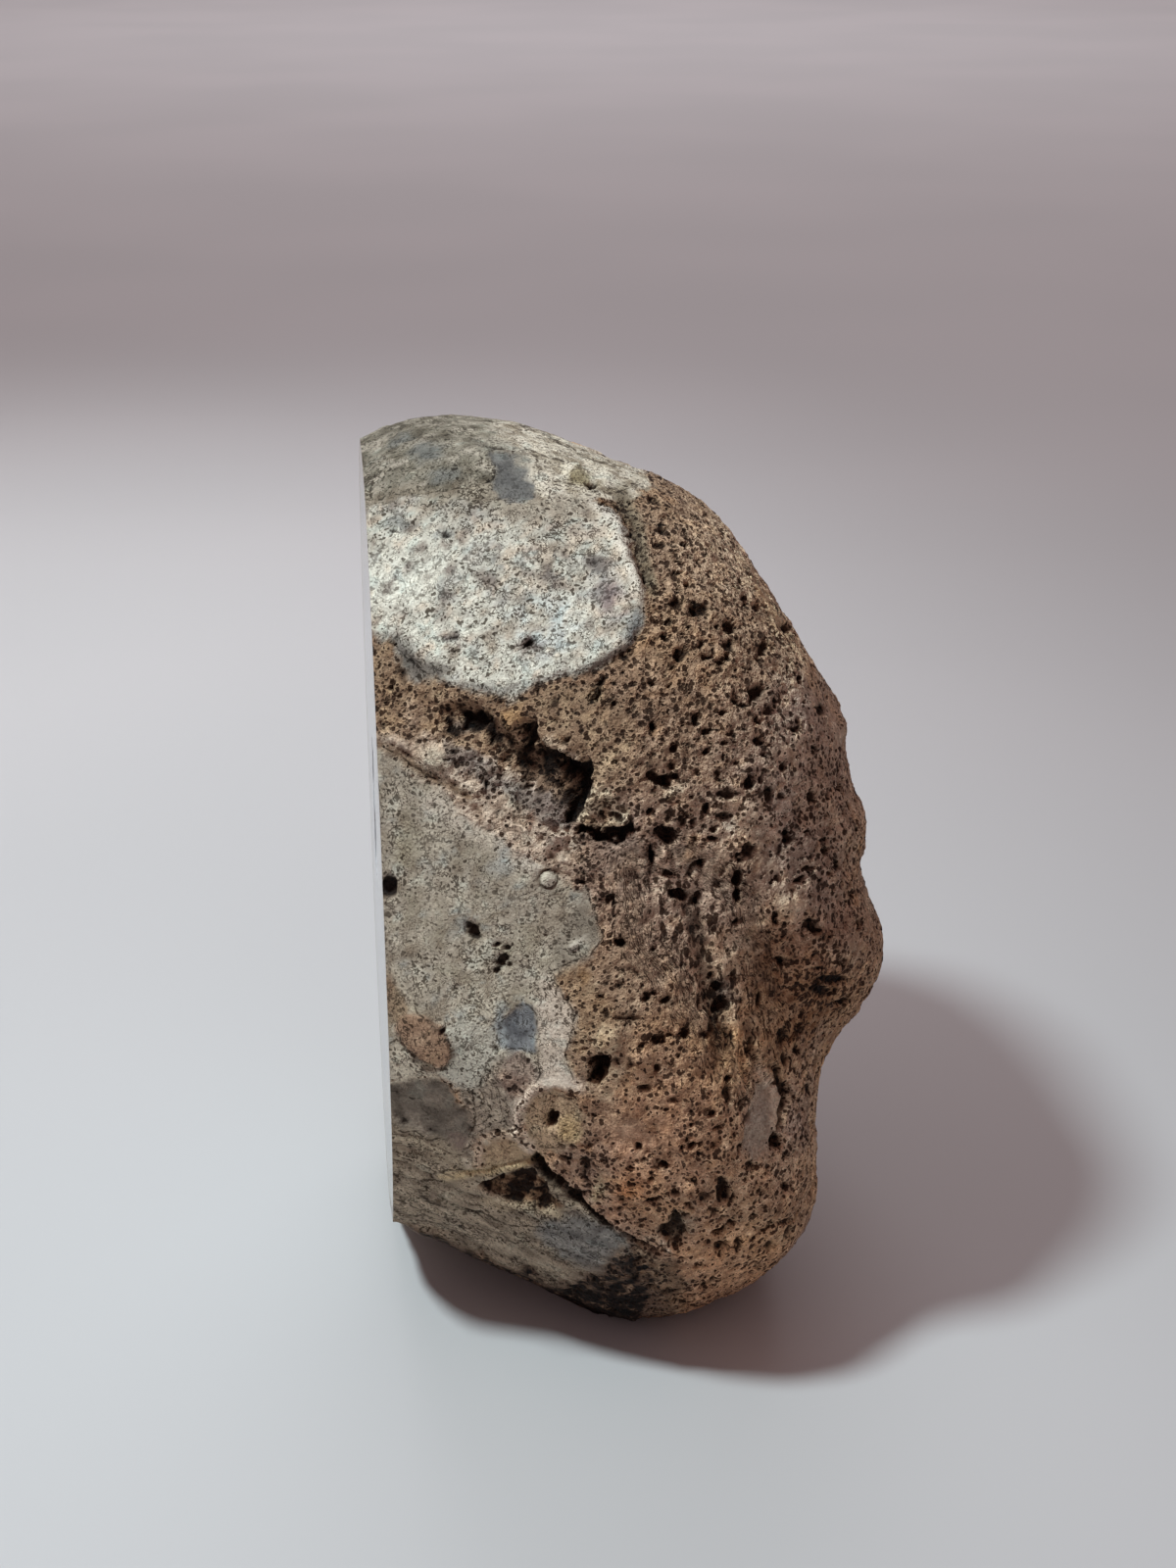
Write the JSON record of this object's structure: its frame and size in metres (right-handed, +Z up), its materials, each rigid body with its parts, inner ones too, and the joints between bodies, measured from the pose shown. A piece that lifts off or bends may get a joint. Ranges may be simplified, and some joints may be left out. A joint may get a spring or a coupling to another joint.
{
  "type": "sliced geode",
  "caption": "Half of a lumpy agate nodule, sawn flat and polished on one side, with a pitted natural rind; it stands upright on a small flat under it.",
  "frame": {"origin": "middle of the small flat that the stone stands on", "axes": "+Z up along the tall side; -X out of the sawn, polished face; -Y is the side of the rind with the white patch"},
  "size_m": [0.0882, 0.1256, 0.1499],
  "materials": {
    "stone": "rough natural rind, brown and pitted with white and grey patches; the sawn face is polished"
  },
  "bodies": {
    "root": {"geode_half": "stone"}
  },
  "joints": []
}
